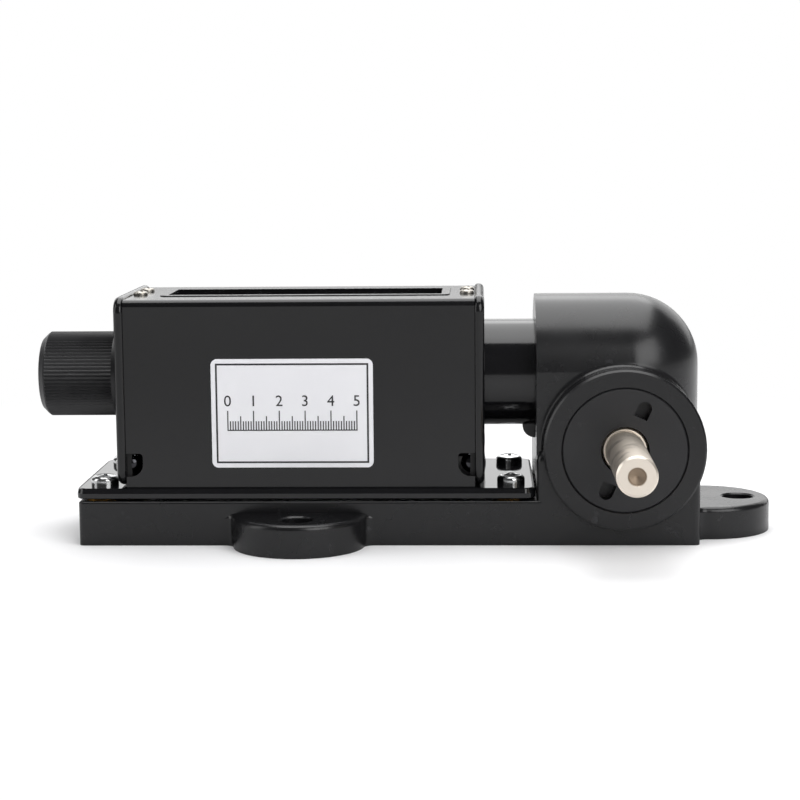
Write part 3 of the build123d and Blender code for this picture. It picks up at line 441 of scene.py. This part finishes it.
def trayPlate():
    # a block of the plate's outline with round corners, whose top and underside are then shaped
    values = trayValues
    low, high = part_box("bottom_plate")
    height = high.z - low.z
    block = Vector((high.x - low.x, high.y - low.y, values["uprightTop"] - values["uprightBottom"]))
    corner = Vector((low.x, low.y, low.z + values["uprightBottom"]))
    bpy.ops.mesh.primitive_cube_add(size=1, location=corner + block / 2, scale=block)
    bpy.ops.object.transform_apply()
    tray = bpy.context.object
    clearSelection("EDGE")
    for edge in tray.data.edges:
        a, b = (tray.data.vertices[i].co for i in edge.vertices)
        edge.select = abs(a.z - b.z) > values["sheet"] / 2
    bpy.ops.object.mode_set(mode="EDIT")
    bpy.ops.mesh.bevel(offset=values["cornerRadius"], segments=values["cornerSteps"], affect="EDGES")
    bpy.ops.object.mode_set(mode="OBJECT")
    # the sloping band and the top's soft rim, then the lower rim and the hollow underside
    slopeHeight = height - values["uprightTop"] - values["crownDrop"]
    shapeFace(tray, 1, ((values["slopeInset"], slopeHeight), (values["crownInset"], values["crownDrop"])))
    shapeFace(tray, -1, ((values["rimInset"], values["uprightBottom"]),
                         (values["sheet"] - values["rimInset"], 0.0),
                         (0.0, values["sheet"] - height)))
    bpy.ops.object.shade_smooth_by_angle(angle=math.radians(values["smoothAngle"]))
    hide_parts("bottom_plate")
    finishPiece(tray, "tray_plate", trayEnamel, "frame")


trayPlate()
print("bottom plate made")


# painted figures, ten round the rim of each number drum

drumValues = {
    "bodies": {"drum_tenths": "counter_line", "drum_ones": "ones", "drum_tens": "tens",
               "drum_hundreds": "hundreds", "drum_thousands": "thousands"},
    "figureSize": 11.7 * mm,  # type size, which gives figures 8.6 mm high
    "paint": 0.06 * mm,
    "curveSteps": 4,
    "slices": 7,
    "mergeReach": 0.001 * mm,
    "rimWidth": 9.4 * mm,
    "figureStep": 360 / 10,
}


def drumFigure(text, rimRadius):
    # a flat figure, wrapped on the rim and thickened to a film of paint
    values = drumValues
    bpy.ops.object.text_add(location=(0, 0, 0))
    figure = bpy.context.object
    figure.data.body = text
    figure.data.align_x = "CENTER"
    figure.data.align_y = "CENTER"
    figure.data.size = values["figureSize"]
    figure.data.resolution_u = values["curveSteps"]
    bpy.ops.object.convert(target="MESH")
    figure = bpy.context.object
    # centred by its own outline, then cut across so that it can follow the rim
    bpy.ops.object.origin_set(type="ORIGIN_GEOMETRY", center="BOUNDS")
    bpy.ops.object.location_clear()
    reach = max(vertex.co.y for vertex in figure.data.vertices)
    bpy.ops.object.mode_set(mode="EDIT")
    for step in range(1, values["slices"]):
        cut = -reach + 2 * reach * step / values["slices"]
        bpy.ops.mesh.select_all(action="SELECT")
        bpy.ops.mesh.bisect(plane_co=(0, cut, 0), plane_no=(0, 1, 0))
    bpy.ops.mesh.select_all(action="SELECT")
    bpy.ops.mesh.remove_doubles(threshold=values["mergeReach"])
    bpy.ops.object.mode_set(mode="OBJECT")
    # wrapped on a rim that runs round the X axis, with the figure on top
    lift = rimRadius + values["paint"] / 2
    for vertex in figure.data.vertices:
        turn = vertex.co.y / rimRadius
        vertex.co = Vector((vertex.co.x, math.sin(turn) * lift, math.cos(turn) * lift))
    wall = figure.modifiers.new("paint", "SOLIDIFY")
    wall.thickness = values["paint"]
    wall.offset = 0
    bpy.ops.object.modifier_apply(modifier="paint")
    return figure


def figureRing(rimRadius):
    # the figures 0 to 9 follow each other as the drum turns
    figures = []
    for number in range(10):
        figure = drumFigure(str(number), rimRadius)
        figure.data.transform(Matrix.Rotation(math.radians(-drumValues["figureStep"] * number), 4, "X"))
        figures.append(figure)
    return joinPieces(figures)


def numberDrums():
    values = drumValues
    rimLow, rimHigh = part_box("drum_ones")
    axisHeight = (rimLow.z + rimHigh.z) / 2
    drumPitch = rimLow.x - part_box("drum_tens")[0].x
    # the tenths drum has no ring of teeth, so its right face is the rim's right face
    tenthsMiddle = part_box("drum_tenths")[1].x - values["rimWidth"] / 2
    ring = figureRing((rimHigh.z - rimLow.z) / 2)
    for place, (nodeName, body) in enumerate(values["bodies"].items()):
        bpy.ops.object.select_all(action="DESELECT")
        ring.select_set(True)
        bpy.context.view_layer.objects.active = ring
        bpy.ops.object.duplicate()
        figures = bpy.context.object
        figures.data.transform(Matrix.Translation((tenthsMiddle - drumPitch * place, 0, axisHeight)))
        finishPiece(figures, nodeName.replace("drum", "figures"), whitePaint, body)
    ring.select_set(True)
    bpy.ops.object.delete()


numberDrums()
print("drum figures made")


# plain border and graduated rule printed on the label plate

labelValues = {
    "borderInset": 1.15 * mm,
    "borderWidth": 0.45 * mm,
    "ink": 0.04 * mm,
    "ruleInset": 4.2 * mm,
    "ruleDrop": 4.5 * mm,
    "ruleSteps": 50,
    "longEvery": 10,
    "middleEvery": 5,
    "tickWidth": 0.28 * mm,
    "longTick": 5.2 * mm,
    "middleTick": 3.8 * mm,
    "shortTick": 2.5 * mm,
    "figureSize": 4.0 * mm,
    "figureRise": 7.6 * mm,
}


def inkSheet(x0, x1, z0, z1, front):
    # an upright rectangle on the plate's front face
    bpy.ops.mesh.primitive_plane_add(size=1, location=((x0 + x1) / 2, front, (z0 + z1) / 2),
                                     rotation=(math.pi / 2, 0, 0))
    bpy.context.object.scale = (x1 - x0, z1 - z0, 1)
    bpy.ops.object.transform_apply()
    return bpy.context.object


def thickenInk(sheet):
    # drawn out towards the viewer, with its back kept, so that it is a closed film
    bpy.ops.object.mode_set(mode="EDIT")
    bpy.ops.mesh.select_all(action="SELECT")
    bpy.ops.mesh.extrude_region_move(TRANSFORM_OT_translate={"value": (0, -labelValues["ink"], 0)})
    bpy.ops.mesh.select_all(action="SELECT")
    bpy.ops.mesh.normals_make_consistent(inside=False)
    bpy.ops.object.mode_set(mode="OBJECT")
    return sheet


def inkFigure(text, x, z, front):
    middle = front - labelValues["ink"] / 2
    bpy.ops.object.text_add(location=(x, middle, z), rotation=(math.pi / 2, 0, 0))
    figure = bpy.context.object
    figure.data.body = text
    figure.data.align_x = "CENTER"
    figure.data.align_y = "CENTER"
    figure.data.size = labelValues["figureSize"]
    figure.data.extrude = labelValues["ink"] / 2
    bpy.ops.object.convert(target="MESH")
    bpy.ops.object.transform_apply()
    return bpy.context.object


def labelBorder(low, high):
    # a sheet set in by the line's width, with its middle taken out
    inset = labelValues["borderInset"]
    border = inkSheet(low.x + inset, high.x - inset, low.z + inset, high.z - inset, low.y)
    clearSelection("FACE")
    bpy.ops.object.mode_set(mode="EDIT")
    bpy.ops.mesh.select_all(action="SELECT")
    bpy.ops.mesh.inset(thickness=labelValues["borderWidth"])
    bpy.ops.mesh.delete(type="FACE")
    bpy.ops.object.mode_set(mode="OBJECT")
    finishPiece(thickenInk(border), "label_border", blackInk, "frame")


def labelRule(low, high):
    # a base line with a tick at each step and a figure over each long tick
    values = labelValues
    left, right = low.x + values["ruleInset"], high.x - values["ruleInset"]
    bottom = (low.z + high.z) / 2 - values["ruleDrop"]
    halfTick = values["tickWidth"] / 2
    prints = [thickenInk(inkSheet(left, right, bottom, bottom + values["tickWidth"], low.y))]
    for tick in range(values["ruleSteps"] + 1):
        x = left + (right - left) * tick / values["ruleSteps"]
        length = values["shortTick"]
        if tick % values["longEvery"] == 0:
            length = values["longTick"]
            figure = str(tick // values["longEvery"])
            prints.append(inkFigure(figure, x, bottom + values["figureRise"], low.y))
        elif tick % values["middleEvery"] == 0:
            length = values["middleTick"]
        prints.append(thickenInk(inkSheet(x - halfTick, x + halfTick, bottom, bottom + length, low.y)))
    finishPiece(joinPieces(prints), "label_rule", blackInk, "frame")


labelBorder(*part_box("label_plate"))
labelRule(*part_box("label_plate"))
print("label printed")


# floor, light and camera

# in metres; the paper runs out to plain white from whiteStart to whiteEnd, as reflections see it
# from glossStart to glossEnd
studioValues = {
    "floorSize": 10.0,
    "floorColour": hexColour("#D8D8D9"),
    "paperColour": hexColour("#F2F2F3"),
    "whiteStart": 0.05,
    "whiteEnd": 0.3,
    "glossStart": 0.3,
    "glossEnd": 0.9,
    "roomStrength": 0.1,
    "top": {"place": (0.05, 0.62, 0.8), "target": (0.05, 0.62, 0.0), "size": (0.85, 1.78), "spread": 140,
            "radiance": 2.3},
    "back": {"place": (0.0, 1.6, 0.89), "target": (0.0, 0.0, 0.89), "size": (3.4, 1.4), "spread": 180,
             "radiance": 1.35},
    "key": {"place": (0.66, -0.85, 0.56), "target": (0.02, 0.0, 0.03), "size": (0.85, 0.85), "spread": 180,
            "radiance": 3.6},
    "left": {"place": (-1.1, -0.25, 0.45), "target": (0.0, 0.0, 0.04), "size": (0.5, 0.9), "spread": 180,
             "radiance": 2.0},
}
cameraValues = {
    "place": (23.4 * mm, -525.1 * mm, 105.2 * mm),
    "yaw": -0.0398,
    "pitch": 0.1338,
    "roll": -0.0086,
    "lens": 89.3,
    "sensorWidth": 36,
    "clipStart": 0.01,
}


def studioFloor():
    # pale paper sweep: it keeps the shadow near the object and runs out to plain white far from it
    bpy.ops.mesh.primitive_plane_add(size=studioValues["floorSize"], location=(0, 0, 0))
    floor = bpy.context.object
    floor.name = "studioFloor"
    material, tree, place = newMaterial("paleStudioFloor")
    rays = addNode(tree, "ShaderNodeLightPath")
    distance = addNode(tree, "ShaderNodeVectorMath", {"operation": "LENGTH"}, {0: place})
    far = addNode(tree, "ShaderNodeMapRange",
                  {"interpolation_type": "SMOOTHSTEP", "From Min": studioValues["whiteStart"],
                   "From Max": studioValues["whiteEnd"], "To Min": 0.0, "To Max": 1.0},
                  {"Value": distance.outputs["Value"]})
    mirrored = addNode(tree, "ShaderNodeMapRange",
                       {"interpolation_type": "SMOOTHSTEP", "From Min": studioValues["glossStart"],
                        "From Max": studioValues["glossEnd"], "To Min": 0.0, "To Max": 1.0},
                       {"Value": distance.outputs["Value"]})
    inMirror = addNode(tree, "ShaderNodeMath", {"operation": "MULTIPLY"},
                       {0: mirrored.outputs[0], 1: rays.outputs["Is Glossy Ray"]})
    seen = addNode(tree, "ShaderNodeMath", {"operation": "MULTIPLY_ADD"},
                   {0: far.outputs[0], 1: rays.outputs["Is Camera Ray"], 2: inMirror.outputs[0]})
    tone = addNode(tree, "ShaderNodeMix",
                   {"data_type": "RGBA", 6: studioValues["floorColour"], 7: studioValues["paperColour"]},
                   {0: rays.outputs["Is Camera Ray"]})
    paper = addNode(tree, "ShaderNodeBsdfDiffuse", links={"Color": tone.outputs[2]})
    white = addNode(tree, "ShaderNodeEmission", {"Color": (1, 1, 1, 1), "Strength": 1.0})
    shader = addNode(tree, "ShaderNodeMixShader",
                     links={0: seen.outputs[0], 1: paper.outputs[0], 2: white.outputs[0]})
    addNode(tree, "ShaderNodeOutputMaterial", links={"Surface": shader.outputs[0]})
    floor.data.materials.append(material)


def softbox(name):
    # a lamp's energy follows from its radiance and area, so its size can change alone
    values = studioValues[name]
    bpy.ops.object.light_add(type="AREA", location=values["place"])
    lamp = bpy.context.object
    lamp.name = name + "Softbox"
    lamp.data.shape = "RECTANGLE"
    lamp.data.size, lamp.data.size_y = values["size"]
    lamp.data.spread = math.radians(values["spread"])
    lamp.data.energy = values["radiance"] * math.pi * values["size"][0] * values["size"][1]
    direction = Vector(values["target"]) - Vector(values["place"])
    lamp.rotation_euler = direction.to_track_quat("-Z", "Y").to_euler()


def studioWorld():
    # plain white to the eye, a dim room to everything else
    world = bpy.data.worlds.new("paleStudio")
    bpy.context.scene.world = world
    world.use_nodes = True
    tree = world.node_tree
    tree.nodes.clear()
    rays = addNode(tree, "ShaderNodeLightPath")
    room = addNode(tree, "ShaderNodeBackground",
                   {"Color": (1, 1, 1, 1), "Strength": studioValues["roomStrength"]})
    white = addNode(tree, "ShaderNodeBackground", {"Color": (1, 1, 1, 1), "Strength": 1.0})
    mixed = addNode(tree, "ShaderNodeMixShader",
                    links={0: rays.outputs["Is Camera Ray"], 1: room.outputs[0], 2: white.outputs[0]})
    addNode(tree, "ShaderNodeOutputWorld", links={"Surface": mixed.outputs[0]})


def photoCamera():
    # aimed by its yaw, its pitch downwards and its roll
    data = bpy.data.cameras.new("photoCamera")
    camera = bpy.data.objects.new("photoCamera", data)
    bpy.context.scene.collection.objects.link(camera)
    yaw, pitch, roll = (cameraValues[turn] for turn in ("yaw", "pitch", "roll"))
    ahead = Vector((math.sin(yaw) * math.cos(pitch), math.cos(yaw) * math.cos(pitch), -math.sin(pitch)))
    level = Vector((math.cos(yaw), -math.sin(yaw), 0))
    above = level.cross(ahead)
    right = math.cos(roll) * level + math.sin(roll) * above
    up = -math.sin(roll) * level + math.cos(roll) * above
    turned = Matrix((right, up, -ahead)).transposed().to_4x4()
    camera.matrix_world = Matrix.Translation(cameraValues["place"]) @ turned
    data.lens = cameraValues["lens"]
    data.sensor_width = cameraValues["sensorWidth"]
    data.clip_start = cameraValues["clipStart"]
    bpy.context.scene.camera = camera


studioFloor()
studioWorld()
for name in ("top", "back", "key", "left"):
    softbox(name)
photoCamera()
bpy.context.scene.view_settings.view_transform = "Standard"
print("studio set")
